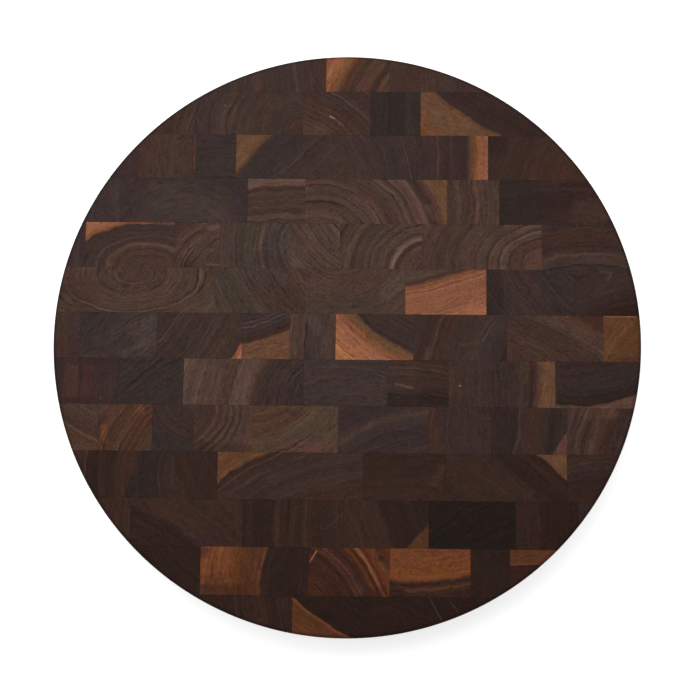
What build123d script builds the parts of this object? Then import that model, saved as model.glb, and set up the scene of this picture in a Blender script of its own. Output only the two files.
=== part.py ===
from build123d import *
import os

# Round chopping block of end-grain walnut. Upright blocks stand side by side in rows, each with its
# growth rings showing on the top and bottom faces. The rows are glued to each other, and the
# slab is then turned round and its two edges are rounded over.
#
# Millimetres. The origin is the centre of the lower face, +Z is up, and +Y points to row 1.

# Finished disc
diameter = 406.4
thickness = 50.8
edge_round = 2.0

# What the rim leaves of the first and the last row, measured on the disc's middle line. The rows
# between those two share the rest evenly.
first_row_height = 26.4
last_row_height = 28.0

# How far the cuts reach past the disc
cut_overrun = 10.0

# Upright joints of each row from left to right, as shares of the disc's radius, with row 1 first
joint_shares_by_row = (
    (-0.295, -0.080, 0.142, 0.305),
    (-0.534, -0.160, 0.076, 0.250),
    (-0.731, -0.531, -0.390, -0.007, 0.236, 0.484),
    (-0.785, -0.347, -0.148, 0.342, 0.522),
    (-0.903, -0.596, -0.437, -0.194, -0.025, 0.257, 0.667),
    (-0.452, -0.143, 0.200, 0.476, 0.780),
    (-0.908, -0.646, -0.355, -0.193, -0.036, 0.228, 0.544, 0.871),
    (-0.770, -0.550, -0.143, 0.142, 0.347, 0.707),
    (-0.834, -0.651, -0.511, -0.315, -0.024, 0.281, 0.490, 0.745),
    (-0.571, -0.427, 0.062, 0.337, 0.742),
    (-0.715, -0.338, -0.002, 0.281, 0.570, 0.778),
    (-0.476, -0.117, 0.153, 0.420, 0.550),
    (-0.168, 0.271),
)

radius = diameter / 2
cut_reach = radius + cut_overrun
inner_row_count = len(joint_shares_by_row) - 2
inner_row_height = (diameter - first_row_height - last_row_height) / inner_row_count


def row_edges():
    """Y of the top edge of row 1, of the glue lines under each row in turn, and of the last bottom edge."""
    first_glue_line = radius - first_row_height
    glue_lines = [first_glue_line - place * inner_row_height for place in range(inner_row_count + 1)]
    return [cut_reach, *glue_lines, -cut_reach]


def finished_disc():
    """The whole block as one round slab with both edges rounded over."""
    at_floor = (Align.CENTER, Align.CENTER, Align.MIN)
    slab = Cylinder(radius, thickness, align=at_floor)
    return fillet(slab.edges().filter_by(GeomType.CIRCLE), edge_round)


def upright_block(disc, left, right, lower, upper):
    """The part of the disc that one upright block fills."""
    centre = Pos((left + right) / 2, (lower + upper) / 2, thickness / 2)
    blank = centre * Box(right - left, upper - lower, thickness + 2 * cut_overrun)
    return (disc & blank).solid()


def row_blocks(disc, joint_shares, lower, upper):
    """The blocks of one row from left to right."""
    edges = [-cut_reach, *(share * radius for share in joint_shares), cut_reach]
    return [upright_block(disc, left, right, lower, upper) for left, right in zip(edges, edges[1:])]


def row_nodes(name, blocks):
    """Names the blocks of one row. The two blocks at each end share a node, the others have their own."""
    nodes = [(f"{name}_left_pair", blocks[:2])]
    inner = blocks[2:]
    if len(inner) > 1:
        nodes.append((f"{name}_right_pair", inner[-2:]))
        inner = inner[:-2]
    nodes += [(f"{name}_block_{place}", [block]) for place, block in enumerate(inner, start=3)]
    return nodes


def main():
    os.makedirs("parts", exist_ok=True)
    disc = finished_disc()
    edges = row_edges()
    for row, joint_shares in enumerate(joint_shares_by_row, start=1):
        blocks = row_blocks(disc, joint_shares, edges[row], edges[row - 1])
        for node, solids in row_nodes(f"row_{row:02d}", blocks):
            export_step(Compound(label=node, children=solids), f"parts/{node}.step")


main()
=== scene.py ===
from math import cos, hypot, pi, radians, sin

import bmesh
import bpy
from mathutils import Matrix, Vector


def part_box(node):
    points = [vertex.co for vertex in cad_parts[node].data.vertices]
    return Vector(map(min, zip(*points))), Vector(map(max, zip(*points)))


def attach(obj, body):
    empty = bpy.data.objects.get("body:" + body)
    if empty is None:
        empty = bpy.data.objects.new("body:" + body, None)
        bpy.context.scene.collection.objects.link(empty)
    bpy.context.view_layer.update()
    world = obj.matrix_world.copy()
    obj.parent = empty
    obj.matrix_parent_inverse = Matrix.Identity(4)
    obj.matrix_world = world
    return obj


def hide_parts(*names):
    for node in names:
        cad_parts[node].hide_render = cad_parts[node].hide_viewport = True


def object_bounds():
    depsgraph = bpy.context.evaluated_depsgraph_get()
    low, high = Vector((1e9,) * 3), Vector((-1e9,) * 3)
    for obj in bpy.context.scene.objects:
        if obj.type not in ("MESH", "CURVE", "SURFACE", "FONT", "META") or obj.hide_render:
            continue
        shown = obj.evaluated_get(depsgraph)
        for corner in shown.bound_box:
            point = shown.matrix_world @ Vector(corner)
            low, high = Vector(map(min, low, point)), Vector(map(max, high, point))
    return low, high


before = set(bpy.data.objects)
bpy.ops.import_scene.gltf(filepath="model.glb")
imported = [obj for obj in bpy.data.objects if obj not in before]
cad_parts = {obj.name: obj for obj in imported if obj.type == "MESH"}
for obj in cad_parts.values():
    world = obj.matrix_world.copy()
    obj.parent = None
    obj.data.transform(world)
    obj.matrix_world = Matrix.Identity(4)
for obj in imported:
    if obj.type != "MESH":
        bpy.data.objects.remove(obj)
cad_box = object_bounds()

# Round chopping block of end-grain walnut, dressed block by block. Each block of the frame is built
# again with a fine chamfer along its glue lines and a rounded edge at the rim, and each has its own
# growth rings. Lengths are in millimetres, except where a comment says metres.

MM = 0.001
radius = (cad_box[1].x - cad_box[0].x) / 2 / MM
top = cad_box[1].z / MM
past_rim = 2 * radius

# Edges of the blocks
rim_round = 2.0
seam_chamfer = 0.08
rim_steps = 1080
round_steps = 8
flat_face = 0.9999
same_place = 0.05
same_point_metres = 1e-7
sharp_degrees = 30

# Takes the height out of a vector
LEVEL = (1.0, 1.0, 0.0)

# Wood changes slowly along its grain, so heights count for little
grain_stretch = 0.05
pith_lean = (0.03, -0.02)

# Waves in the growth rings: length and reach of each
RING_WAVES = ((22.0, 5.0), (7.0, 1.8), (2.6, 0.7))

# Lines of the rings: over how many rings their width changes, where late wood darkens and early wood
# lightens within a ring, as shares of it, and how strong the faintest and the strongest lines are
ring_change = 2.5
ring_unevenness = 2.6
late_wood_shares = (0.6, 0.9, 0.93, 1.0)
early_wood_shares = (0.0, 0.1, 0.15, 0.6)
dark_line_strengths = (0.06, 0.55)
light_line_strengths = (0.05, 0.5)
ring_tone = 0.16
line_patch = (7.0, 30.0)
line_patch_edge = (-0.16, 0.14)

# Streaks of the grain: size across the rings, size along them, and how strongly they show. Rays are
# short lines that cross the rings.
STREAKS = ((3.6, 26.0, 0.55), (1.8, 8.0, 1.0), (0.9, 3.0, 1.6))
streak_strength = 0.5
streak_roughness = 0.55
ray_length = 12.0
ray_width = 0.8
ray_strength = 0.15

# Radius of the smallest circle that lengths along the rings are taken on
least_turn = 20.0

# Light and dark patches
plain_light = 0.93
least_light = 0.2
blotch_size = 9.0
blotch_roughness = 0.6
blotch_strength = 0.45
speckle_size = 1.1
speckle_strength = 1.4
patch_size = 8.0
patch_edge = (0.3, 0.7)

# How far the ramp of a block's tones reaches past its outermost bands
ramp_margin = 1.0

# Tints over the tones of a block, as factors of red, green and blue
tint_size = 10.0
tint_streak = (2.4, 14.0)
cool_tint = (0.93, 1.0, 1.08, 1.0)
warm_tint = (1.09, 1.0, 0.91, 1.0)
warmth_gain = 1.2
plum_tint = (1.04, 0.94, 1.06, 1.0)
olive_tint = (0.97, 1.06, 0.94, 1.0)
olive_gain = 2.0

# Vessels are dots on the end grain and long lines on the side. Most are open pores, more of them in
# early wood, and a few are filled with pale dust.
vessel_spacing = 0.62
vessel_edge = (0.16, 0.34)
open_share = 0.4
more_open_early = 0.35
pore_strength = 0.5
pore_light = 0.35
closed_share = 0.93
filled_pore_strength = 0.2
speck_size = 1.5
speck_edge = (0.68, 0.82)
speck_strength = 0.28
dust_share = 0.4
dust_gain = 2.6

# Glue lines, which show only in places, and rounded edges, which are darker: partly oil soaked into the
# wood there, partly painted shade where the edge turns away from the light
glue_width = 0.16
glue_light = 0.75
glue_patch = 12.0
glue_patch_edge = (0.42, 0.6)
# Where the rounded edges darken and how far: partly oil soaked into the wood, partly painted shade
edge_oil_and_painted_shade_fade = (1.2, 3.2)
edge_oil_and_painted_shade = 0.6

# Oil finish
specular = 0.064
least_roughness = 0.44
roughness_range = 0.16
roughness_patch = 14.0
pore_roughness = 0.2
fine_size = 0.5
fine_height = 0.25
glue_depth = 0.6
bump_strength = 0.35
bump_height = 0.05

# Strokes and spots have rough edges
stroke_wave = 3.0
stroke_roughness = 1.5
shortest_stroke = 1e-6

# Shifts that give every block and every use of the noise a part of it for itself
seeds_per_row = 10
SEED_STEPS = (7.3, 3.1, 1.7)
surface_seed_step = 5.0
other_number = 0.37
PATCH_SHIFT = (0.0, 30.0, 5.0)
TINT_SHIFT = (40.0, 0.0, 9.0)
TINT_STREAK_SHIFT = (9.0, 0.0, 0.0)
OLIVE_SHIFT = (0.0, 60.0, 4.0)

# Camera: where it stands, where the middle of the picture falls, and its turn in degrees
camera_place = (17.3, -129.2, 904.6)
camera_aim = (2.7, -8.4, 50.8)
camera_turn = 0.49
camera_focus_px = 1251
picture_px = 700
sensor_width = 36.0

# Light and floor, in watts and metres
sky_strength = 0.4
lamp_power = 22.0
lamp_size = 1.4
lamp_place = (-0.25, 0.72, 1.55)
floor_reach = 12.0
floor_drop = 0.00005
floor_white = 0.9
floor_glow = 0.62

# Colours of the oiled wood, in the 0 to 255 steps of sRGB
TONES = {
    "coal": (27, 17, 12), "soot": (37, 21, 15), "night": (40, 24, 19),
    "wine": (46, 28, 22), "umber": (52, 33, 26), "rust": (52, 27, 20),
    "moss": (56, 38, 27), "redwood": (60, 37, 28), "sienna": (64, 34, 21),
    "russet": (68, 40, 27), "ginger": (78, 45, 27), "brass": (86, 55, 33),
    "ochre": (90, 50, 22), "flame": (92, 44, 24), "amber": (92, 54, 32),
    "apricot": (97, 66, 45), "gold": (108, 61, 34), "marigold": (114, 63, 29),
    "copper": (122, 72, 44), "caramel": (128, 78, 45), "salmon": (134, 84, 61),
    "peach": (149, 94, 65), "blond": (164, 104, 68), "ebony": (40, 29, 25),
    "slate": (48, 37, 34), "grape": (50, 32, 30), "ink": (50, 36, 36),
    "mauve": (54, 37, 37), "plum": (54, 38, 34), "dusk": (57, 43, 40),
    "brown": (60, 42, 35), "berry": (62, 37, 33), "olive": (64, 50, 42),
    "cocoa": (66, 45, 37), "mist": (71, 57, 52), "tan": (72, 52, 43),
    "fawn": (75, 50, 37), "khaki": (76, 58, 45), "sand": (78, 58, 49),
    "rose": (84, 56, 47), "straw": (88, 66, 56), "lilac": (92, 69, 61),
    "dust": (120, 95, 80), "chalk": (150, 138, 125),
}


def look(outward, bend, spacing, *parts, oval=1.0, lines=1.0, waves=1.0, streaks=1.0):
    """How one block's end grain looks. The growth rings are circles round a pith that lies the distance
    bend from the block's middle, and outward is the direction from the pith to the middle, in degrees
    from +X. The parts are bands (place, tone), threads (place, half width, tone) and marks, with places
    counted outward from the middle."""
    bands, threads, marks = ([part for part in parts if len(part) == size] for size in (2, 3, 6))
    return {
        "outward": outward, "bend": bend, "spacing": spacing, "bands": bands, "threads": threads,
        "marks": marks, "oval": oval, "lines": lines, "waves": waves, "streaks": streaks,
    }


def mark(x, y, to_x, to_y, half_width, softness, tone, strength=1.0):
    """A stroke between two points given from the block's middle, or a spot where the two are the same."""
    return ((x, y), (to_x, to_y), half_width, softness, tone, strength)


def spot(x, y, half_width, softness, tone, strength=1.0):
    """A round spot of a tone."""
    return mark(x, y, x, y, half_width, softness, tone, strength)


# Looks of the blocks, row by row from the far side, and from left to right in each row
LOOKS = {}
LOOKS[1] = (
    look(180, 220, 5, (-22, "plum"), (-15, "cocoa"), (-8, "plum"), (20, "brown"), lines=0.6),
    look(190, 200, 5, (-22, "redwood"), (-8, "plum"), (12, "plum"), (22, "brown"), (1, 1.8, "tan"),
         lines=0.7),
    look(152, 150, 5, (-24, "fawn"), (-19, "fawn"), (-17, "umber"), (-14.5, "umber"), (-12.5, "fawn"),
         (-4, "fawn"), (-1, "redwood"), (2, "fawn"), (4.5, "russet"), (6.8, "amber"), (9.5, "apricot"),
         (12, "copper"), (14, "caramel"), (18, "salmon"), (24, "copper"), lines=0.6, streaks=1.2),
    look(160, 120, 5, (-16, "cocoa"), (0, "redwood"), (16, "brown"), lines=0.4),
    look(180, 200, 5, (-18, "redwood"), (0, "plum"), (18, "brown"), lines=0.4),
)
LOOKS[2] = (
    look(165, 60, 4, (-17, "plum"), (-10, "brown"), (-6, "umber"), (17, "redwood"), (-9, 0.9, "cocoa"),
         (-13.5, 0.8, "tan"), (-16.5, 0.8, "tan"), lines=0.8),
    look(159, 40, 4.2, (-37, "redwood"), (-22, "plum"), (-12, "brown"), (6, "brown"), (14, "cocoa"),
         (22, "brown"), (27, "plum"), (40, "plum"), (17, 0.7, "mist"), (14, 0.6, "umber"), (11, 0.7, "tan"),
         (8, 0.6, "umber"), (5, 0.6, "mist"), (1.5, 0.6, "umber"), (-2, 0.6, "tan"), (-6, 0.6, "umber"),
         mark(-34, 11, 0, 12, 3, 4, "plum", 0.8), mark(0, 12, 30, 13, 2, 4, "brown", 0.6),
         spot(-17.5, 5.2, 0.4, 0.6, "straw"), spot(-13.5, 5.2, 0.4, 0.6, "straw"), lines=0.6, streaks=1.3),
    look(55, 80, 4, (-30, "cocoa"), (-16, "cocoa"), (-10, "redwood"), (0, "redwood"), (10, "plum"),
         (25, "redwood"), (-9, 0.8, "tan"), (-4.5, 0.9, "tan"), (0, 0.6, "cocoa"), (5, 0.6, "cocoa"),
         (12, 0.7, "cocoa"), mark(-4.5, -2.3, -1.5, -3.8, 0.4, 0.4, "chalk", 0.6),
         mark(-1.5, -3.8, 4.5, -8.8, 0.4, 0.5, "straw", 0.8),
         mark(-26, -11, -12, -13, 2.5, 4, "khaki", 0.6), streaks=1.2),
    look(180, 200, 4, (-18, "ebony"), (-8, "slate"), (-6, "ebony"), (18, "ebony"), lines=0.6),
    look(240.5, 135, 5, (-60, "grape"), (-20, "grape"), (0, "wine"), (8.6, "grape"), (9.6, "amber"),
         (12, "apricot"), (26, "apricot"), (38, "gold"), lines=0.4),
)
LOOKS[3] = (
    look(180, 300, 5, (-10, "mauve"), (10, "mauve"), lines=0.4),
    look(178, 150, 4, (-20, "redwood"), (-8, "brown"), (-3, "cocoa"), (4, "brown"), (8, "cocoa"),
         (20, "redwood"), (-19.6, 0.9, "rose"), (-5, 0.9, "tan"), (6, 0.8, "tan"), (11, 0.7, "umber"),
         waves=1.2, streaks=1.3),
    look(92, 150, 4, (-16, "slate"), (0, "slate"), (16, "ink"), lines=0.8, streaks=1.3),
    look(137, 400, 4, (-60, "redwood"), (-30, "brown"), (-10, "plum"), (8, "ink"), (20.2, "slate"),
         (21.6, "brass"), (26, "apricot"), (35, "apricot"), mark(-12, -10, -8, -5, 0.3, 0.8, "mist", 0.5),
         mark(-7, -12, -3, -7, 0.3, 0.8, "mist", 0.5), mark(2, -4, 6, 0, 0.3, 0.8, "mist", 0.4), waves=0.6,
         lines=0.6),
    look(20, 90, 4, (-24, "brown"), (-8, "plum"), (8, "ink"), (24, "plum"), (17.5, 0.5, "sand"),
         (14.5, 0.4, "brown"), (-4, 0.5, "brown"), (-7.5, 0.5, "umber"), (2, 0.5, "brown"), lines=0.6,
         streaks=1.2),
    look(0, 250, 5, (-25, "plum"), (-2, "grape"), (11, "grape"), (13.5, "rose"), (16, "gold"),
         (18, "caramel"), (21, "salmon"), (25, "salmon"), (-10.4, 0.6, "sand"), (-0.8, 0.5, "cocoa"),
         lines=0.7),
    look(157, 90, 5, (-35, "redwood"), (-15, "redwood"), (9, "umber"), (34, "umber"), (21, 0.5, "cocoa"),
         mark(-34, 10, -28, 10, 4, 5, "night", 0.8), lines=0.6),
)
LOOKS[4] = (
    look(180, 200, 5, (-13, "dusk"), (13, "ink"), (-12.8, 0.8, "brown"), lines=0.5),
    look(90, 36.8, 6, (-16, "dusk"), (0, "dusk"), (16, "ink"), spot(-30, 8, 8, 12, "mauve", 0.5),
         mark(-14, 2, 20, -4, 7, 12, "olive", 0.5), lines=0.4, streaks=1.3),
    look(92, 150, 5, (-16, "brown"), (-13.5, "brown"), (-12, "sand"), (-9.5, "sand"), (-8, "brown"),
         (0, "cocoa"), (4, "brown"), (6.5, "tan"), (8.5, "redwood"), (10, "redwood"), (11.3, "straw"),
         (16, "straw"), (-3.5, 0.8, "tan"), (3, 0.6, "umber"), (1, 0.6, "tan"), waves=1.3),
    look(42.8, 54.1, 5.5, (-54, "cocoa"), (-26, "tan"), (-19, "tan"), (-16.5, "brown"), (-14, "tan"),
         (-9.5, "sand"), (-7, "straw"), (-5, "rose"), (-3, "cocoa"), (0, "brown"), (9, "tan"),
         (12.4, "straw"), (14.5, "tan"), (16.2, "brown"), (18, "tan"), (22, "rose"), (24.5, "straw"),
         (26.5, "brown"), (30, "umber"), (35, "rose"), (37.5, "apricot"), (46, "apricot"),
         (3, 0.7, "umber"), (10, 0.6, "umber"), (-11.5, 0.6, "umber"),
         mark(-38, 4, -26, 6, 6, 9, "brown", 0.6), mark(37, -4, 41, -11, 1.5, 2.5, "rose", 0.6), lines=1.1,
         streaks=1.3),
    look(0, 150, 4, (-18, "brown"), (-14, "brown"), (-11, "tan"), (-5, "cocoa"), (-2.5, "tan"), (18, "tan"),
         (-0.3, 0.6, "umber"), (1.2, 0.6, "rose"), (-8, 0.7, "brown"), (9, 0.5, "cocoa"), waves=1.3,
         streaks=1.3),
    look(92, 150, 5, (-16, "grape"), (0, "wine"), (16, "grape"), mark(-40, 0, -24, 0, 14, 8, "ebony", 0.8),
         mark(4, 13, 22, 13, 0.8, 1.2, "night", 0.8), mark(0, -9, 24, -11, 1, 3, "redwood", 0.4),
         mark(18, -6, 36, -4, 5, 8, "cocoa", 0.7), lines=0.7),
)
LOOKS[5] = (
    look(180, 200, 5, (-7, "ink"), (-3.5, "ink"), (-1.5, "dusk"), (1, "dusk"), (7, "mauve"), lines=0.4),
    look(128, 20, 5, (-17, "cocoa"), (-2.5, "cocoa"), (-1, "khaki"), (0.6, "plum"), (8, "brown"),
         (13.4, "plum"), (14.4, "copper"), (17.2, "salmon"), (20, "peach"), (-4.6, 0.7, "umber"),
         (-9.5, 0.6, "brown"), (4, 0.6, "mist"), mark(18, 15.8, 31, 14.8, 0.4, 1.2, "straw", 0.8), oval=0.6,
         lines=1.2),
    look(135, 50, 3.5, (-24, "brown"), (-18, "cocoa"), (0, "tan"), (14, "cocoa"), (19, "brown"),
         (24, "plum"), (10, 0.6, "straw"), (6.5, 0.6, "umber"), (2, 0.6, "straw"), (-3, 0.6, "sand"),
         (-6, 0.6, "umber"), (-10, 0.6, "straw"), mark(7, -13.8, 16, -13.8, 0.3, 0.4, "straw"),
         mark(-14, -13, -8, -14, 3, 3, "plum", 0.7), mark(8, 12.5, 15, 13, 1.2, 1, "straw", 0.8), lines=1.3,
         streaks=1.4),
    look(180, 60, 4.5, (-24, "mist"), (-8, "mist"), (-6, "olive"), (24, "olive"), (-4, 1.3, "straw"),
         (-1.2, 0.6, "umber"), (-8.2, 1, "slate"), (-12.8, 0.7, "dusk"), (-17, 1.6, "slate"),
         (-20.5, 0.8, "dusk"), mark(4, -9, 18, -13, 3, 3, "mauve", 0.6),
         mark(11, -4, 13, 8, 2, 3, "slate", 0.5), streaks=1.2),
    look(222, 150, 3, (-24, "sand"), (24, "sand"), (6, 0.6, "umber"), (-5, 0.6, "umber"),
         (-11, 0.6, "umber"), (1, 0.6, "umber"), lines=1.6, streaks=1.2),
    look(149, 39, 5, (-39, "cocoa"), (-19, "tan"), (-17.3, "umber"), (-15.3, "brown"), (-13.6, "lilac"),
         (-11.6, "straw"), (-9.8, "brown"), (-8.3, "cocoa"), (-7, "sand"), (-5, "sand"), (-3.5, "tan"),
         (0, "tan"), (2, "sand"), (4, "brown"), (6, "tan"), (8, "brown"), (12, "olive"), (15, "brown"),
         (18, "khaki"), (23, "khaki"), (26, "cocoa"), (20, 0.5, "straw"), (16, 0.6, "umber"), streaks=1.2),
    look(165, 47.5, 6, (-36, "fawn"), (-24, "rose"), (-22.8, "fawn"), (-21.9, "umber"), (-21, "cocoa"),
         (-17, "fawn"), (-15.9, "umber"), (-14.8, "sand"), (-11.8, "straw"), (-10.4, "umber"),
         (-9.3, "tan"), (-6.4, "straw"), (-5.2, "umber"), (-4, "tan"), (0, "khaki"), (1, "brown"),
         (2, "tan"), (10, "tan"), (12, "brown"), (16, "tan"), (20, "cocoa"), (30, "tan"),
         mark(4, 15, 22, 6, 3, 4, "brown", 0.4), oval=0.72, lines=0.8, streaks=1.2, waves=0.6),
    look(92, 200, 5, (-16, "brown"), (-12, "dusk"), (-8, "brown"), (-6, "tan"), (-4, "brown"), (0, "grape"),
         (10, "redwood"), (16, "plum"), (2, 0.5, "cocoa"), (14, 0.6, "cocoa"), waves=1.5, streaks=1.2),
)
LOOKS[6] = (
    look(284, 11.5, 3.4, (-11, "cocoa"), (-2, "tan"), (14, "tan"), (25, "khaki"), (32, "tan"),
         (40, "cocoa"), (3, 0.5, "umber"), (-3, 0.5, "umber"), (9, 0.6, "brown"), (17, 0.6, "brown"),
         spot(-6.8, 2.7, 1.2, 1.5, "umber", 0.8), spot(-40, -4, 8, 14, "redwood", 0.4), oval=0.55,
         lines=1.3, streaks=1.3, waves=0.8),
    look(213, 120, 4, (-34, "cocoa"), (-10, "cocoa"), (10, "olive"), (34, "olive"), (-4, 0.5, "umber"),
         (2, 0.5, "umber"), (9, 0.6, "mist"), mark(-2, 12, 14, 10, 3, 5, "mist", 0.6), lines=1.3,
         streaks=1.3),
    look(284, 45.3, 5, (-30, "cocoa"), (0, "tan"), (14, "olive"), (20, "tan"), (34, "tan"),
         (-12.5, 0.45, "umber"), (-11.6, 0.4, "sand"), mark(22, 0, 34, 10, 3, 5, "straw", 0.6), lines=0.8,
         streaks=1.3),
    look(285, 300, 4, (-25, "tan"), (-14, "sand"), (-11.6, "redwood"), (-10.2, "rose"), (-8.6, "copper"),
         (-6, "salmon"), (8, "salmon"), (20, "peach"), (-4, 0.6, "gold"), (3, 0.6, "copper"),
         (9, 0.5, "copper"), (-7.5, 0.6, "gold"), lines=0.6, streaks=0.9),
    look(217, 120, 4, (-34, "plum"), (-20, "slate"), (-12, "slate"), (-8, "ink"), (0, "plum"), (16, "plum"),
         (30, "slate"), (-1.8, 1.2, "brown"), (-5.8, 0.8, "cocoa"), (-17.8, 0.6, "cocoa"),
         mark(-26, -16, -26, 16, 4, 5, "ebony", 0.8), mark(16, -14, 30, -16, 2, 4, "ebony", 0.7), lines=0.8,
         streaks=1.2),
    look(108, 150, 5, (-20, "night"), (-13, "night"), (-6, "grape"), (0, "plum"), (16, "plum"),
         (4.8, 0.7, "brown"), mark(-5, 15.5, 3, 14.5, 0.4, 0.8, "mist", 0.7),
         mark(3, 14.5, 0, 9, 0.4, 0.8, "mist", 0.7), lines=0.7),
)
LOOKS[7] = (
    look(180, 200, 4, (-9, "dusk"), (0, "brown"), (9, "brown"), mark(-4, -10, 4, -10, 5, 6, "berry", 0.5),
         lines=0.5),
    look(130, 120, 3.5, (-24, "dusk"), (0, "dusk"), (24, "slate"), mark(13, 3, 22, -3, 3, 6, "mist", 0.6),
         mark(19, 6, 24, 10, 2, 4, "mist", 0.8), mark(2, -12, 22, -5, 0.7, 1.6, "mist", 0.6), lines=0.7,
         streaks=1.3),
    look(328, 140, 3, (-40, "plum"), (-10, "plum"), (20, "brown"), (26.4, "brown"), (27.6, "copper"),
         (30, "peach"), (-20, 0.5, "tan"), (-12, 0.5, "mist"), (-3, 0.5, "mist"), (8, 0.5, "mist"),
         spot(-23.3, -3.6, 0.3, 0.5, "straw"), streaks=1.3),
    look(288, 96, 3, (-22, "slate"), (-14, "dusk"), (-6, "dusk"), (-1, "umber"), (1, "russet"),
         (2.2, "apricot"), (16, "apricot"), (-11, 0.6, "ebony"), (-8, 0.5, "ebony"), (-14.5, 0.5, "ebony"),
         (-5, 0.5, "ebony"), (-9.5, 0.5, "mist"), lines=1.1, streaks=1.3),
    look(175, 120, 4, (-16, "cocoa"), (-11, "tan"), (-6, "dusk"), (-1, "dusk"), (4.6, "plum"),
         (5.4, "ebony"), (6.5, "tan"), (9, "cocoa"), (12, "khaki"), (16, "tan"),
         mark(0, 12, 4, 5, 2.5, 4, "mist", 0.8), mark(8, 0, 6, -14, 0.6, 1, "mist", 0.7), streaks=1.2),
    look(233, 112, 4, (-50, "umber"), (-20, "plum"), (-4, "plum"), (-3.8, "umber"), (-2.5, "apricot"),
         (0.5, "apricot"), (4, "copper"), (9, "salmon"), (14, "peach"), (24, "blond"), (30, "blond"),
         mark(-27, -10, -20, -12, 3, 7, "blond", 0.6), lines=0.8, streaks=1.2),
    look(158, 120, 4.5, (-34, "ebony"), (-20, "dusk"), (-8, "brown"), (0, "plum"), (10, "redwood"),
         (14, "plum"), (20, "umber"), (34, "plum"), (16.4, 1.8, "tan"),
         mark(-24, -14, -21, -8, 1, 2.5, "tan", 0.7), mark(0, -5, 14, -3, 0.4, 1, "mist", 0.4),
         mark(14, -3, 22, 5, 0.4, 1, "mist", 0.3), lines=0.7),
    look(62, 200, 4, (-26, "cocoa"), (-10, "cocoa"), (0, "brown"), (10, "tan"), (19, "fawn"),
         (24, "redwood"), (28, "berry"), (4, 0.6, "umber"), (-6, 0.6, "umber"), (-14, 0.6, "umber"),
         (12, 0.6, "tan"), lines=0.7, streaks=1.2),
    look(330, 120, 4.5, (-13, "brass"), (13, "brass"), mark(-10, -9, -4, 1, 0.5, 1.2, "apricot", 0.8),
         mark(-4, 1, 7, 11, 0.5, 1.2, "apricot", 0.8), spot(-9, -12, 0.8, 1, "redwood", 0.7),
         mark(-12, 15.8, 9, 15.8, 0.3, 0.8, "salmon", 0.8), mark(1, -15, 11, -15, 1, 3, "redwood", 0.6),
         lines=0.7),
)
LOOKS[8] = (
    look(180, 200, 4, (-22, "ink"), (-12, "plum"), (-5, "plum"), (-3.5, "berry"), (3, "berry"),
         (4, "grape"), (5, "grape"), (6.5, "cocoa"), (13.5, "cocoa"), (15, "grape"), (22, "ink"),
         mark(-14, -14, 20, -14, 1.5, 2, "grape", 0.8), mark(-14, 14, 20, 14, 2, 2, "grape", 0.8),
         spot(11, -12.2, 0.4, 0.5, "straw"), lines=0.5),
    look(128, 120, 3.5, (-24, "slate"), (24, "slate"), (0, 0.6, "ebony"), (3, 0.5, "ebony"),
         (-4, 0.5, "ebony"), (-8, 0.5, "dusk"), streaks=1.5),
    look(163, 70, 4, (-42, "ink"), (-14, "plum"), (-9, "brown"), (-5, "sand"), (3, "straw"), (8, "tan"),
         (14, "tan"), (34, "sand"), (40, "straw"), (-7, 0.5, "umber"), (-11, 0.5, "brown"), lines=0.9,
         streaks=1.2),
    look(90, 80, 4, (-16, "dusk"), (16, "dusk"), lines=0.6, waves=1.5, streaks=1.4),
    look(85, 150, 4, (-16, "night"), (-9, "ebony"), (-3, "plum"), (2, "brown"), (10, "brown"),
         (16, "umber"), mark(-15, -0.3, -3.5, -3.3, 0.4, 0.7, "straw", 0.8),
         mark(8, -7, 20, -8, 4, 4, "night", 0.8), mark(8, 3, 20, 4, 4, 6, "umber", 0.7), lines=0.7),
    look(0, 200, 5, (-36, "brown"), (-10, "plum"), (10, "plum"), (12.5, "brown"), (13.5, "tan"),
         (14.5, "plum"), (17, "brown"), (20, "wine"), (23, "berry"), (25.5, "rose"), (28, "apricot"),
         (36.6, "apricot"), (-35.5, 0.5, "cocoa"), spot(-28.6, -1.3, 0.25, 0.5, "chalk"),
         mark(16, 3, 17, 14, 1, 3, "tan", 0.6), lines=0.7, streaks=1.3),
    look(279, 140, 5, (-18, "grape"), (0, "slate"), (8.4, "ebony"), (12.2, "night"), (13.2, "rose"),
         (14.4, "straw"), (18, "rose"), lines=0.5),
)
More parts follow.
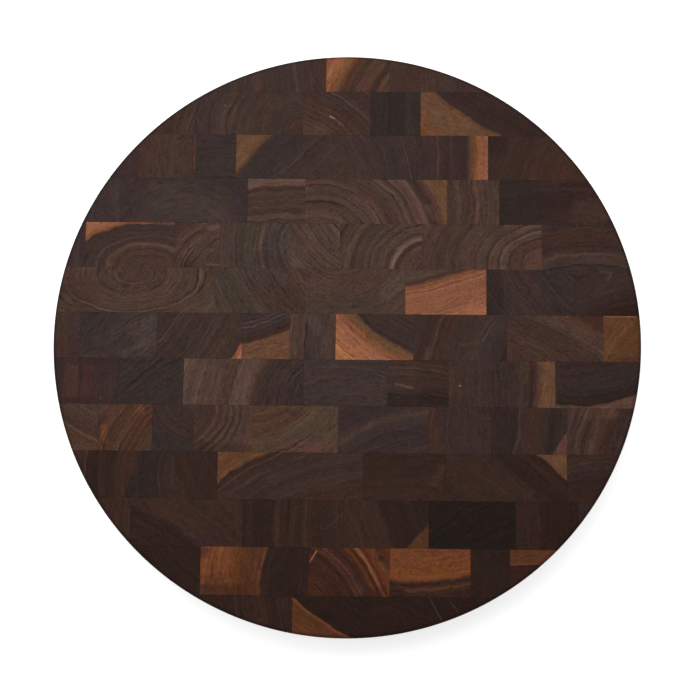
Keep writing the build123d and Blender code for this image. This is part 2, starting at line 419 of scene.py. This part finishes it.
LOOKS[9] = (
    look(241, 150, 4, (-24, "olive"), (-10, "tan"), (-2, "brown"), (0.8, "cocoa"), (2.2, "rose"),
         (3.4, "fawn"), (6, "fawn"), (14, "rose"), (-6, 0.6, "cocoa"), (-11, 0.6, "brown"), lines=0.7,
         streaks=1.2),
    look(150, 60, 3.6, (-26, "cocoa"), (-16, "fawn"), (-9, "russet"), (0, "fawn"), (5, "russet"),
         (10, "fawn"), (14, "russet"), (20, "brown"), (-12, 0.6, "umber"), (-8, 0.6, "umber"),
         (-4, 0.6, "umber"), (-1.5, 0.7, "rose"), (2, 0.6, "umber"), (7, 0.6, "umber"), (9, 0.7, "rose"),
         mark(-17, 13, -10, 12, 2, 4, "rose", 0.5), mark(-15, 0, -13, -9, 1.2, 2, "gold", 0.5),
         spot(11, 12, 1.5, 2, "copper", 0.5), lines=1.2, streaks=1.3),
    look(234, 31, 3.5, (-24, "dusk"), (-8, "plum"), (4, "plum"), (8, "slate"), (24, "slate"),
         (3, 0.6, "ebony"), (5.5, 0.5, "ebony"), (0, 0.5, "brown"), streaks=1.2),
    look(336, 30, 4.3, (-24, "dusk"), (-14, "brown"), (-8, "cocoa"), (8, "tan"), (14, "tan"), (18, "rose"),
         (-10, 0.9, "umber"), (-7.2, 0.7, "straw"), (-4.7, 0.9, "umber"), (-2.2, 0.7, "sand"),
         (0, 0.8, "umber"), (2, 0.7, "straw"), (4.3, 0.9, "umber"), (6.3, 0.6, "sand"), (8.6, 1, "umber"),
         mark(-20, -15, 16, -14, 2, 4, "umber", 0.6), mark(-22, -8, -15, -12, 2, 4, "umber", 0.5),
         lines=0.8, streaks=1.2),
    look(303, 80, 4, (-24, "fawn"), (-8, "fawn"), (0, "khaki"), (10, "khaki"), (24, "rose"),
         mark(-4, 11.5, -1, 11, 1.2, 2, "brown", 0.8), mark(-6, -13, 10, -14, 2, 4, "rose", 0.9),
         mark(27, 10, 27, -14, 1, 4, "khaki", 0.6), lines=1.1, streaks=1.2),
    look(110, 150, 4.5, (-30, "plum"), (-4, "ink"), (2.5, "dusk"), (5.5, "tan"), (8.5, "dusk"), (12, "ink"),
         (30, "plum"), lines=0.6),
    look(180, 200, 4, (-20, "plum"), (9, "plum"), (14, "brown"), (20, "redwood"), lines=0.6, streaks=1.2),
    look(352, 150, 4, (-26, "grape"), (-9, "ebony"), (-7.5, "brown"), (-5, "plum"), (3, "redwood"),
         (11, "plum"), (14, "ebony"), (26, "plum"), (-7.5, 0.6, "tan"),
         mark(23, -20.7, 33.4, -4.7, 8.4, 1.2, "rose"), lines=0.6),
    look(160, 90, 4.5, (-24, "plum"), (-8, "plum"), (-2, "redwood"), (2, "cocoa"), (4.5, "khaki"),
         (6.5, "brown"), (9, "umber"), (12, "cocoa"), (16, "brown"), (20, "brown"), (24, "cocoa"),
         (22, 0.5, "tan"), (14, 0.6, "tan"), (10, 0.7, "wine"), mark(-12, 13, 8, 13, 2, 4, "rose", 0.6),
         lines=0.9, streaks=1.3),
)
LOOKS[10] = (
    look(180, 60, 5, (-37, "brown"), (-33, "plum"), (-29, "umber"), (-26, "ebony"), (-10, "ebony"),
         (-8.5, "umber"), (-7, "redwood"), (0, "redwood"), (5, "umber"), (7, "wine"), (14, "wine"),
         (20, "night"), (24, "wine"), (36, "plum"), (26, 0.8, "cocoa"), (-24.6, 0.7, "brown"),
         (-35.6, 0.5, "tan"), (16, 0.6, "redwood"), (3, 0.6, "wine"),
         mark(8, -4, 5, -16, 2.5, 1.5, "ebony", 0.9), lines=0.8),
    look(210, 120, 4, (-15, "wine"), (0, "wine"), (15, "umber"), (-11.4, 0.5, "brown"), lines=0.5),
    look(112, 143, 4, (-55, "redwood"), (-20, "redwood"), (-4, "plum"), (6, "plum"), (20, "umber"),
         (21.2, "brass"), (23, "apricot"), (28, "amber"), (34, "apricot"), (40, "gold"), (16.4, 0.7, "tan"),
         (-3, 0.7, "umber"), (2, 0.6, "brown"), (-8, 0.6, "brown"), (8, 0.5, "umber"),
         mark(-34, -9, -18, -13, 2, 4, "grape", 0.6), lines=0.8, streaks=1.3),
    look(88, 200, 4, (-16, "umber"), (16, "wine"), mark(20, -4, 26, 6, 1, 3, "cocoa", 0.4), lines=0.4),
    look(54, 250, 5, (-50, "wine"), (-12, "umber"), (4, "umber"), (8, "night"), (20, "wine"),
         (24.8, "night"), (26, "apricot"), (33, "apricot"), (-8.4, 0.6, "brown"), (1.5, 1.2, "moss"),
         lines=0.5),
    look(98, 60, 4.5, (-20, "umber"), (-6, "wine"), (2, "grape"), (8, "plum"), (16, "umber"),
         (11, 0.7, "tan"), (7.5, 0.5, "brown"), (14, 0.5, "brown"), lines=0.6),
)
LOOKS[11] = (
    look(180, 200, 4, (-12, "umber"), (12, "umber"), (-11.8, 0.6, "brown"), lines=0.5),
    look(56, 200, 5, (-40, "wine"), (-16, "wine"), (-12, "night"), (-9.5, "night"), (-7, "umber"),
         (-4, "umber"), (2, "moss"), (12, "umber"), (30, "umber"),
         mark(-31, 15, -19, -1, 0.4, 0.8, "wine", 0.7), mark(27, 14, 34, 2, 0.5, 1, "redwood", 0.7),
         mark(34, 2, 37, -12, 0.5, 1, "redwood", 0.6), spot(-17, 12, 4, 6, "moss", 0.8),
         mark(8, -12, 24, -15, 3, 4, "grape", 0.8), lines=0.8, streaks=1.3),
    look(180, 120, 4.5, (-34, "umber"), (-13, "wine"), (-11.5, "umber"), (-10, "wine"), (-8.5, "moss"),
         (-7, "umber"), (-4, "wine"), (0, "umber"), (3.5, "wine"), (8.5, "wine"), (12.5, "umber"),
         (14, "night"), (26, "night"), (30, "wine"), (34, "night"), (10.5, 1.4, "redwood"),
         (10.5, 0.4, "cocoa"), (2.5, 0.6, "moss"), (31.5, 0.5, "wine"),
         mark(22.5, -2.8, 27.5, 1.2, 0.35, 0.6, "brown", 0.9),
         mark(27.5, 1.2, 33, 7.2, 0.35, 0.6, "brown", 0.9),
         mark(-10.5, 3, -10.5, -9, 0.8, 1, "russet", 0.7), lines=0.6),
    look(20, 200, 4, (-30, "umber"), (-1, "umber"), (0.5, "night"), (30, "night"),
         mark(22.4, -24, 37.4, -8, 11.4, 1.2, "ginger"), lines=0.6),
    look(120, 100, 4, (-30, "coal"), (30, "coal"), streaks=1.3),
    look(0, 150, 4, (-21, "wine"), (-6, "wine"), (-4.5, "night"), (21, "soot"), lines=0.5),
    look(0, 150, 4, (-6, "grape"), (6, "plum"), lines=0.5),
)
LOOKS[12] = (
    look(225, 120, 4, (-20, "night"), (20, "night"), lines=0.7),
    look(171, 150, 5, (-38, "night"), (-6.6, "night"), (-5.6, "russet"), (-4.6, "amber"), (-3, "ginger"),
         (5, "ginger"), (12, "ochre"), (18, "gold"), (38, "gold"),
         mark(-37, 12, -33, 12, 1.5, 4, "russet", 0.7), mark(-37, -14, -20, -15, 4, 5, "russet", 0.9),
         mark(-34, -6, -22, -4, 1.5, 3, "russet", 0.5), mark(-12, -16, 0, -12, 3, 6, "sienna", 0.5),
         lines=0.7, streaks=1.1),
    look(38, 75, 4, (-50, "sienna"), (-24, "sienna"), (-14, "rust"), (-9, "sienna"), (-7.8, "rust"),
         (-6.6, "night"), (-5.4, "rust"), (-4, "ginger"), (-2.2, "sienna"), (-0.8, "rose"), (0.4, "russet"),
         (2, "sienna"), (4.2, "rust"), (5.2, "umber"), (6.8, "sienna"), (8.6, "flame"), (10, "sienna"),
         (11.6, "rust"), (12.4, "gold"), (13.4, "salmon"), (14.4, "gold"), (15.4, "sienna"), (18, "flame"),
         (21, "amber"), (25, "sienna"), (32, "flame"), mark(-26.4, 6.5, -22, 14, 0.2, 0.45, "peach", 0.8),
         mark(-23, -8, -17, -14, 0.5, 0.6, "night", 0.8), spot(-17.5, -4, 0.6, 1, "night", 0.8),
         spot(21, 9, 1, 2, "rust", 0.8), mark(12, -15, 21, -13, 2, 4, "rust", 0.6),
         mark(-6, -9, 4, -4, 2, 4, "rust", 0.5), lines=0.5, streaks=1.4),
    look(273, 110, 4, (-17, "gold"), (-6, "gold"), (0, "marigold"), (4.8, "gold"), (6, "ginger"),
         (7.4, "wine"), (8.6, "rust"), (9.8, "sienna"), (11, "fawn"), (12.6, "sienna"), (14, "wine"),
         (17, "rust"), mark(-26, -10, -19, -15, 2, 3, "night", 0.8), waves=1.3, lines=0.7),
    look(45, 150, 4, (-13, "night"), (13, "night"), lines=0.4),
    look(90, 150, 4, (-14, "wine"), (2, "rust"), (3.4, "night"), (4.2, "gold"), (5.2, "amber"),
         (13, "amber"), mark(-16, 11, -6, 11, 3, 5, "ginger", 0.6), lines=0.5),
)
LOOKS[13] = (
    look(190, 200, 4, (-36, "wine"), (-20, "wine"), (-10, "umber"), (0, "wine"), (20, "night"),
         (36, "wine"), (2.5, 0.9, "brown"), (-2.5, 0.9, "redwood"), (-13.5, 1, "redwood"),
         (-24, 0.6, "night"), (-29, 0.8, "umber"), streaks=1.2),
    look(241, 300, 4, (-40, "soot"), (13.8, "soot"), (14.8, "gold"), (16, "ginger"), (30, "amber"),
         mark(10, 5, 20, 7, 0.6, 2, "rust", 0.6), lines=0.7),
    look(45, 150, 4, (-24, "soot"), (24, "soot"), mark(-21.5, 10.2, -13, -5, 0.2, 0.5, "cocoa", 0.8),
         mark(-7, 7.4, -2, 0.4, 0.2, 0.5, "cocoa", 0.8), lines=0.4),
)


# Colours

def linear(tone):
    """A named tone as the linear red, green and blue that a shader takes, by the curve of sRGB."""
    steps = [value / 255 for value in TONES[tone]]
    return [step / 12.92 if step <= 0.04045 else ((step + 0.055) / 1.055) ** 2.4 for step in steps]


# Shader nodes

class Value:
    """What an output of a shader node gives. A sum with it adds the node that works the sum out."""

    def __init__(self, node, output=0):
        self.socket = node.outputs[output]
        self.tree = node.id_data
        self.is_number = self.socket.type == "VALUE"

    def calc(self, operation, *others, output=0):
        """The result of an operation on numbers, or on vectors and colours."""
        kind = "Math" if self.is_number else "VectorMath"
        inputs = dict(enumerate((self, *others)))
        return Value(add(self.tree, kind, inputs, operation=operation), output)

    def length(self):
        """The length of a vector."""
        return self.calc("LENGTH", output="Value")

    def __add__(self, other):
        return self.calc("ADD", other)

    def __sub__(self, other):
        return self.calc("SUBTRACT", other)

    def __rsub__(self, other):
        return self.calc("MULTIPLY_ADD", -1.0, other)

    def __mul__(self, other):
        is_vector = isinstance(other, tuple) or isinstance(other, Value) and not other.is_number
        if self.is_number or is_vector:
            return self.calc("MULTIPLY", other)
        return Value(add(self.tree, "VectorMath", {0: self, "Scale": other}, operation="SCALE"))

    def __truediv__(self, other):
        return self.calc("DIVIDE", other) if self.is_number else self * (1 / other)


def add(tree, kind, inputs=None, **settings):
    """A new node, with each named or numbered input set to a value or linked to another node's output."""
    node = tree.nodes.new("ShaderNode" + kind)
    for name, value in settings.items():
        setattr(node, name, value)
    for name, value in (inputs or {}).items():
        if isinstance(value, Value):
            tree.links.new(value.socket, node.inputs[name])
        else:
            node.inputs[name].default_value = value
    return node


def tree_of(*values):
    """The node tree of the first value that comes from a node."""
    return next(value.tree for value in values if isinstance(value, Value))


def vector(x=0.0, y=0.0, z=0.0):
    """A vector of three numbers."""
    return Value(add(tree_of(x, y, z), "CombineXYZ", {0: x, 1: y, 2: z}))


def axes(place):
    """X, Y and Z of a vector."""
    node = add(place.tree, "SeparateXYZ", {0: place})
    return [Value(node, axis) for axis in range(3)]


def noise(place, size, detail=2.0, roughness=0.5):
    """Soft noise from 0 to 1 with features of this size."""
    inputs = {"Vector": place, "Scale": 1 / size, "Detail": detail, "Roughness": roughness}
    return Value(add(place.tree, "TexNoise", inputs))


def swing(place, size, detail=2.0, roughness=0.5):
    """Soft noise from -0.5 to 0.5 with features of this size."""
    return noise(place, size, detail, roughness) - 0.5


def ramp_up(value, low, high):
    """0 below one value and 1 above the other, with a soft step between them."""
    inputs = {"Value": value, "From Min": low, "From Max": high}
    return Value(add(value.tree, "MapRange", inputs, interpolation_type="SMOOTHSTEP"))


def ramp_down(value, low, high):
    """1 below one value and 0 above the other, with a soft step between them."""
    return 1.0 - ramp_up(value, low, high)


def blended(share, first, second):
    """A colour between two others."""
    inputs = {0: share, 6: first, 7: second}
    return Value(add(tree_of(share, first, second), "Mix", inputs, data_type="RGBA"), 2)


def new_group(name, sockets, build):
    """A shared node group with these inputs. Its outputs are what a function builds from them."""
    group = bpy.data.node_groups.new(name, "ShaderNodeTree")
    for kind, names in sockets.items():
        for socket in names:
            group.interface.new_socket(name=socket, in_out="INPUT", socket_type="NodeSocket" + kind)
    start = group.nodes.new("NodeGroupInput")
    end = group.nodes.new("NodeGroupOutput")
    kinds = {"VALUE": "Float", "VECTOR": "Vector", "RGBA": "Color"}
    given = {socket.name: Value(start, socket.name) for socket in start.outputs if socket.name}
    for socket, value in build(given).items():
        kind = kinds[value.socket.type]
        group.interface.new_socket(name=socket, in_out="OUTPUT", socket_type="NodeSocket" + kind)
        group.links.new(value.socket, end.inputs[socket])


def add_group(tree, name, inputs):
    """The outputs of a new node that uses one of the shared groups."""
    node = add(tree, "Group", inputs, node_tree=bpy.data.node_groups[name])
    return {socket.name: Value(node, socket.name) for socket in node.outputs}


# Growth rings

def grain_noise(around, across, shift, size_across, size_along):
    """Noise from -0.5 to 0.5 in long patches that follow the rings."""
    place = around / size_along + across / size_across + shift
    return swing(place, size=1.0, roughness=streak_roughness)


def bump_shape(value, shares):
    """Rises from 0 to 1 between the first two shares and falls back between the last two."""
    return ramp_up(value, *shares[:2]) * ramp_down(value, *shares[2:])


def random_number(value):
    """A random number from 0 to 1 for each value."""
    return Value(add(value.tree, "TexWhiteNoise", {"W": value}, noise_dimensions="1D"))


def line_strength(chance, faintest, strongest):
    """How strongly a ring's line shows: most are faint and a few are strong."""
    return chance * chance * (strongest - faintest) + faintest


def ring_lines(given, warped, patch):
    """The rings' dark and light lines, which come and go along their length, and where early wood is."""
    seed_x = axes(given["Seed"])[0]
    ring = warped / given["Spacing"]
    ring = noise(vector(ring, seed_x), ring_change) * ring_unevenness + ring
    within = ring.calc("FRACT")
    number = ring.calc("FLOOR") + seed_x
    chance = random_number(number)
    other_chance = random_number(number + other_number)
    early = bump_shape(within, early_wood_shares)
    bright = early * line_strength(other_chance, *light_line_strengths)
    dark = bump_shape(within, late_wood_shares) * line_strength(chance, *dark_line_strengths)
    line = (bright - dark) * ramp_up(patch, *line_patch_edge)
    return line + (other_chance - 0.5) * ring_tone, early


def growth_rings(given):
    """Growth rings round the pith: how far out a point lies, and how light and warm its grain is."""
    position = given["Position"]
    seeded = position + given["Seed"]
    flat = (position - given["Pith"]) * given["Oval"]
    warped = flat.length()
    for length, reach in RING_WAVES:
        warped = swing(seeded, length) * given["Waves"] * reach + warped

    # Directions along the rings and across them
    towards = (flat * LEVEL).calc("NORMALIZE")
    around = towards * given["Bend"].calc("MAXIMUM", least_turn)
    across = vector(z=warped)
    shift = given["Seed"] + vector(x=axes(position)[2])

    line, early = ring_lines(given, warped, grain_noise(around, across, shift, *line_patch))
    streak = swing(around / ray_width + across / ray_length, size=1.0) * ray_strength
    for *sizes, strength in STREAKS:
        streak = grain_noise(around, across, shift, *sizes) * strength + streak
    blotch = swing(seeded, blotch_size, detail=3.0, roughness=blotch_roughness)
    speckle = swing(seeded, speckle_size, detail=1.0)
    speckle = speckle * ramp_up(noise(seeded + PATCH_SHIFT, patch_size), *patch_edge)
    light = line * given["Lines"] + streak * given["Streaks"]
    light = light + blotch * blotch_strength + speckle * speckle_strength + plain_light

    tint = swing(seeded + TINT_SHIFT, tint_size, detail=3.0)
    warm_streak = grain_noise(around, across, shift + TINT_STREAK_SHIFT, *tint_streak)
    return {"Outward": warped - given["Bend"], "Light": light, "Warmth": tint + warm_streak, "Early": early}


# Strokes and spots

def mark_on_wood(given):
    """A stroke or spot of another tone on the wood."""
    from_start = given["Position"] * LEVEL - given["Start"]
    stroke = given["End"] - given["Start"]
    square = stroke.calc("DOT_PRODUCT", stroke, output="Value").calc("MAXIMUM", shortest_stroke)
    share = from_start.calc("DOT_PRODUCT", stroke, output="Value") / square
    share = Value(add(stroke.tree, "Clamp", {"Value": share}))
    rough = swing(given["Position"], stroke_wave, detail=3.0) * given["Softness"] * stroke_roughness
    away = (from_start - stroke * share).length() + rough
    cover = ramp_down(away, given["Half width"], given["Half width"] + given["Softness"])
    return {"Colour": blended(cover * given["Strength"], given["Colour"], given["Tone"])}


# Oiled surface

def tinted(given):
    """The tones of a block, turned a little to warm or cool and to plum or olive, times their light."""
    warmth = blended(given["Warmth"] * warmth_gain + 0.5, cool_tint, warm_tint)
    green = swing(given["Position"] + OLIVE_SHIFT, tint_size)
    green = blended(green * olive_gain + 0.5, plum_tint, olive_tint)
    return given["Colour"] * warmth * green * given["Light"].calc("MAXIMUM", least_light)


def with_vessels(given, colour):
    """The colour with pores and dust in it, and where the pores are."""
    position = given["Position"]
    cells = add(colour.tree, "TexVoronoi", {"Vector": position, "Scale": 1 / vessel_spacing})
    vessel = ramp_down(Value(cells, "Distance"), *vessel_edge)
    pick = Value(add(colour.tree, "SeparateColor", {0: Value(cells, "Color")}))
    pore = vessel * pick.calc("LESS_THAN", given["Early"] * more_open_early + open_share)
    colour = blended(pore * pore_strength, colour, colour * pore_light)
    dust = blended(dust_share, colour * dust_gain, (*linear("dust"), 1.0))
    filled = vessel * pick.calc("GREATER_THAN", closed_share)
    colour = blended(filled * filled_pore_strength, colour, dust)
    dusty = ramp_up(noise(position + PATCH_SHIFT, patch_size), *patch_edge)
    speck = ramp_up(noise(position, speck_size, detail=0.0), *speck_edge) * dusty
    return blended(speck * speck_strength, colour, dust), pore


def oiled_surface(given):
    """The oiled surface: grain, pores and glue lines laid over the tones of a block, and rounded edges
    darkened, partly by oil and partly by painted shade.
    """
    position = given["Position"]
    colour, pore = with_vessels(given, tinted(given))
    glue = ramp_down(given["Edge"], 0.0, glue_width)
    seen = ramp_up(noise(position, glue_patch), *glue_patch_edge)
    colour = blended(glue * seen, colour, colour * glue_light)
    # Painted shade on the rounded edges of the rim, partly also oil soaked into the wood there: the colour
    # darkens near the edges
    colour = colour * (ramp_down(given["Corner"], *edge_oil_and_painted_shade_fade) * (edge_oil_and_painted_shade - 1) + 1.0)
    dull = noise(position, roughness_patch, detail=3.0) * roughness_range + least_roughness
    height = noise(position, fine_size) * fine_height - pore - glue * glue_depth
    inputs = {"Height": height, "Strength": bump_strength, "Distance": bump_height * MM}
    normal = Value(add(height.tree, "Bump", inputs))
    return {"Colour": colour, "Roughness": pore * pore_roughness + dull, "Normal": normal}


# Materials

def band_colour(bands, place):
    """The colour of the bands at a place across the rings."""
    place = min(max(place, bands[0][0]), bands[-1][0])
    for (low, first), (high, second) in zip(bands, bands[1:]):
        if place <= high:
            share = (place - low) / (high - low)
            return [a + (b - a) * share for a, b in zip(linear(first), linear(second))]


def tone_stops(bands, threads):
    """Places and colours across the rings: the bands, with each thread let in as a narrow line."""
    stops = [(place, linear(tone)) for place, tone in bands]
    for place, half_width, tone in threads:
        stops = [stop for stop in stops if abs(stop[0] - place) > half_width]
        stops += [(edge, band_colour(bands, edge)) for edge in (place - half_width, place + half_width)]
        stops.append((place, linear(tone)))
    return sorted(stops, key=lambda stop: stop[0])


def tone_ramp(outward, stops):
    """The colour at a place across the rings."""
    low = stops[0][0] - ramp_margin
    high = stops[-1][0] + ramp_margin
    share = Value(add(outward.tree, "MapRange", {"Value": outward, "From Min": low, "From Max": high}))
    node = add(outward.tree, "ValToRGB", {0: share})
    elements = node.color_ramp.elements
    while len(elements) < len(stops):
        elements.new(0.5)
    for element, (place, colour) in zip(elements, stops):
        element.position = (place - low) / (high - low)
        element.color = (*colour, 1.0)
    return Value(node)


def seam_distance(place, seams):
    """How far a point lies from the nearest glue line of its block."""
    left, right, low, high = seams
    x, y = axes(place)[:2]
    nearest, *others = (x - left, right - x, y - low, high - y)
    for other in others:
        nearest = nearest.calc("MINIMUM", other)
    return nearest


def corner_distance(place):
    """How far a point of the surface lies from the rim's edges, along the face and down the wall."""
    height = axes(place)[2]
    to_rim = radius - (place * LEVEL).length()
    return to_rim + height.calc("MINIMUM", top - height)


def empty_tree(owner):
    """The node tree of a new material or world, with its nodes taken out."""
    owner.use_nodes = True
    owner.node_tree.nodes.clear()
    return owner.node_tree


def walnut(name, grain, block, seed):
    """The oiled walnut of one block."""
    material = bpy.data.materials.new(name)
    tree = empty_tree(material)
    place = Value(add(tree, "TexCoord"), "Object") / MM
    from_middle = place - (*block["middle"], top)
    height = axes(from_middle)[2]
    position = from_middle + vector(*(height * share for share in (*pith_lean, grain_stretch - 1)))

    angle = radians(grain["outward"])
    pith = (-cos(angle) * grain["bend"], -sin(angle) * grain["bend"], 0.0)
    rings = add_group(tree, "growth_rings", {
        "Position": position, "Pith": pith, "Oval": (grain["oval"], 1.0, 0.0),
        "Bend": hypot(pith[0] * grain["oval"], pith[1]), "Spacing": grain["spacing"],
        "Waves": grain["waves"], "Lines": grain["lines"], "Streaks": grain["streaks"] * streak_strength,
        "Seed": [seed * step for step in SEED_STEPS],
    })
    colour = tone_ramp(rings["Outward"], tone_stops(grain["bands"], grain["threads"]))
    for start, end, half_width, softness, tone, strength in grain["marks"]:
        colour = add_group(tree, "mark", {
            "Colour": colour, "Position": position, "Start": (*start, 0.0), "End": (*end, 0.0),
            "Half width": half_width, "Softness": softness, "Tone": (*linear(tone), 1.0),
            "Strength": strength,
        })["Colour"]
    surface = add_group(tree, "oiled_surface", {
        "Colour": colour, "Light": rings["Light"], "Warmth": rings["Warmth"], "Early": rings["Early"],
        "Position": position + (seed * surface_seed_step, 0.0, 0.0),
        "Edge": seam_distance(place, block["seams"]), "Corner": corner_distance(place),
    })
    shader = add(tree, "BsdfPrincipled", {
        "Base Color": surface["Colour"], "Roughness": surface["Roughness"], "Normal": surface["Normal"],
        "Specular IOR Level": specular,
    })
    add(tree, "OutputMaterial", {"Surface": Value(shader)})
    return material


# Geometry of the blocks

def rim_profile():
    """Distance from the axis and height of the rim, from the lower face up to the upper one, in metres."""
    turns = [step / round_steps * pi / 2 for step in range(round_steps + 1)]
    flat = radius - rim_round
    lower = [(flat + rim_round * sin(turn), rim_round - rim_round * cos(turn)) for turn in turns]
    upper = [(distance, top - height) for distance, height in reversed(lower)]
    return [(distance * MM, height * MM) for distance, height in lower + upper]


def whole_disc():
    """The round slab as one closed mesh."""
    disc = bmesh.new()
    angles = [2 * pi * step / rim_steps for step in range(rim_steps)]
    loops = []
    for distance, height in rim_profile():
        loops.append([disc.verts.new((distance * cos(a), distance * sin(a), height)) for a in angles])
    for lower, upper in zip(loops, loops[1:]):
        for step in range(rim_steps):
            after = (step + 1) % rim_steps
            disc.faces.new((lower[step], lower[after], upper[after], upper[step]))
    disc.faces.new(list(reversed(loops[0])))
    disc.faces.new(loops[-1])
    return disc


def cut(shape, point, outward):
    """Takes away what lies on the outward side of a plane, and closes the cut with one face."""
    everything = [*shape.verts, *shape.edges, *shape.faces]
    done = bmesh.ops.bisect_plane(
        shape, geom=everything, dist=same_point_metres, plane_co=point, plane_no=outward, clear_outer=True)
    opening = [piece for piece in done["geom_cut"] if isinstance(piece, bmesh.types.BMEdge)]
    opening = [edge for edge in opening if edge.is_boundary]
    if opening:
        bmesh.ops.contextual_create(shape, geom=opening)


def cut_seams(shape, axis, low, high):
    """Cuts a shape at its glue lines along an axis and chamfers their edges. The rim isn't cut."""
    depth = seam_chamfer * MM
    up = Vector((0, 0, 1))
    along = Vector((0, 0, 0))
    along[axis] = 1
    for place, side in ((low, -1), (high, 1)):
        if abs(place) == past_rim:
            continue
        seam = along * (place * MM)
        outward = along * side
        cut(shape, seam, outward)
        cut(shape, seam + up * (top * MM - depth), outward + up)
        cut(shape, seam + up * depth, outward - up)


def built_block(name, strip, block):
    """The mesh object of one block, cut from its row."""
    shape = strip.copy()
    cut_seams(shape, 0, *block["seams"][:2])
    bmesh.ops.remove_doubles(shape, verts=shape.verts, dist=same_point_metres)
    bmesh.ops.recalc_face_normals(shape, faces=shape.faces)
    mesh = bpy.data.meshes.new(name)
    shape.to_mesh(mesh)
    shape.free()
    mesh.shade_smooth()
    mesh.set_sharp_from_angle(angle=radians(sharp_degrees))
    return placed(name, mesh)


def placed(name, data):
    """A new object in the scene."""
    item = bpy.data.objects.new(name, data)
    bpy.context.scene.collection.objects.link(item)
    return item


# Blocks of the frame

def seam_places(nodes):
    """X of the upright glue lines of a row, from the flat faces that look along X."""
    places = []
    for node in nodes:
        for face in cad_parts[node].data.polygons:
            place = face.center.x / MM
            is_seam = abs(face.normal.x) > flat_face and abs(place) < radius - rim_round
            if is_seam and all(abs(place - known) > same_place for known in places):
                places.append(place)
    return sorted(places)


def half_chord(low, high):
    """How far the disc reaches from its middle line where it is widest between two places."""
    nearest = 0.0 if low < 0 < high else min(abs(low), abs(high))
    return (radius**2 - nearest**2) ** 0.5


def row_blocks(row):
    """The blocks of a row from left to right. A seam past the rim stands for a side without a seam."""
    boxes = {node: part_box(node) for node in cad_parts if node.startswith(f"row_{row:02d}_")}
    low = min(box[0].y for box in boxes.values()) / MM
    high = max(box[1].y for box in boxes.values()) / MM
    row_seams = (-past_rim if row == len(LOOKS) else low, past_rim if row == 1 else high)
    reach = half_chord(low, high)
    edges = [-reach, *seam_places(boxes), reach]
    blocks = []
    for left, right in zip(edges, edges[1:]):
        tall = half_chord(left, right)
        middle = ((left + right) / 2, (min(high, tall) + max(low, -tall)) / 2)
        node = next(name for name, box in boxes.items() if box[0].x <= middle[0] * MM <= box[1].x)
        seams = (-past_rim if left == -reach else left, past_rim if right == reach else right, *row_seams)
        blocks.append({"middle": middle, "node": node, "seams": seams})
    return blocks


def build_blocks():
    """Builds every block in the place of its CAD node."""
    disc = whole_disc()
    for row, looks in LOOKS.items():
        blocks = row_blocks(row)
        strip = disc.copy()
        cut_seams(strip, 1, *blocks[0]["seams"][2:])
        for place, (block, grain) in enumerate(zip(blocks, looks, strict=True), start=1):
            name = f"block_{row:02d}_{place}"
            seed = row * seeds_per_row + place
            piece = built_block(name, strip, block)
            piece.data.materials.append(walnut("walnut_" + name, grain, block, seed))
            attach(piece, "root")
            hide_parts(block["node"])
        strip.free()
    disc.free()


# Stage, light and camera

def glow_for_camera(tree, plain, glow):
    """A share that is glow for light that reaches the camera straight, in a mirror or through glass."""
    path = add(tree, "LightPath")
    seen = Value(path, "Is Camera Ray")
    for ray in ("Is Glossy Ray", "Is Transmission Ray"):
        seen = seen.calc("MAXIMUM", Value(path, ray))
    return seen * (glow - plain) + plain


def pale_floor():
    """A wide white floor that keeps the block's shadow."""
    mesh = bpy.data.meshes.new("floor")
    signs = ((-1, -1), (1, -1), (1, 1), (-1, 1))
    mesh.from_pydata([(x * floor_reach, y * floor_reach, 0) for x, y in signs], [], [(0, 1, 2, 3)])
    floor = placed("floor", mesh)
    floor.location.z = -floor_drop
    material = bpy.data.materials.new("pale_floor")
    tree = empty_tree(material)
    matt = add(tree, "BsdfDiffuse", {"Color": (floor_white, floor_white, floor_white, 1.0)})
    glow = add(tree, "Emission", {"Strength": glow_for_camera(tree, 0.0, floor_glow)})
    both = add(tree, "AddShader", {0: Value(matt), 1: Value(glow)})
    add(tree, "OutputMaterial", {"Surface": Value(both)})
    mesh.materials.append(material)


def white_sky():
    """Even light from all round, which shows as white."""
    world = bpy.data.worlds.new("sky")
    tree = empty_tree(world)
    strength = glow_for_camera(tree, sky_strength, 1.0)
    light = add(tree, "Background", {"Color": (1.0, 1.0, 1.0, 1.0), "Strength": strength})
    add(tree, "OutputWorld", {"Surface": Value(light)})
    bpy.context.scene.world = world


def soft_lamp():
    """One wide lamp high up behind the block and a little to the left."""
    lamp = bpy.data.lights.new("soft_lamp", "AREA")
    lamp.energy = lamp_power
    lamp.size = lamp_size
    holder = placed("soft_lamp", lamp)
    holder.location = lamp_place
    holder.rotation_euler = Vector(lamp_place).to_track_quat("Z", "Y").to_euler()


def photograph_camera():
    """The camera, turned so that +X runs almost along the picture's rows."""
    camera = bpy.data.cameras.new("camera")
    camera.sensor_width = sensor_width
    camera.lens = camera_focus_px / picture_px * sensor_width
    holder = placed("camera", camera)
    place = Vector(camera_place) * MM
    forward = (Vector(camera_aim) * MM - place).normalized()
    turn = radians(camera_turn)
    right = Vector((cos(turn), sin(turn), 0))
    right = (right - forward * right.dot(forward)).normalized()
    axes_of_view = Matrix((right, right.cross(forward), -forward)).transposed()
    holder.matrix_world = Matrix.Translation(place) @ axes_of_view.to_4x4()
    bpy.context.scene.camera = holder


new_group("growth_rings", {
    "Vector": ("Position", "Pith", "Oval", "Seed"),
    "Float": ("Bend", "Spacing", "Waves", "Lines", "Streaks"),
}, growth_rings)
new_group("mark", {
    "Vector": ("Position", "Start", "End"),
    "Color": ("Colour", "Tone"),
    "Float": ("Half width", "Softness", "Strength"),
}, mark_on_wood)
new_group("oiled_surface", {
    "Vector": ("Position",),
    "Color": ("Colour",),
    "Float": ("Light", "Warmth", "Early", "Edge", "Corner"),
}, oiled_surface)
build_blocks()
pale_floor()
white_sky()
soft_lamp()
photograph_camera()
bpy.context.scene.view_settings.view_transform = "Standard"
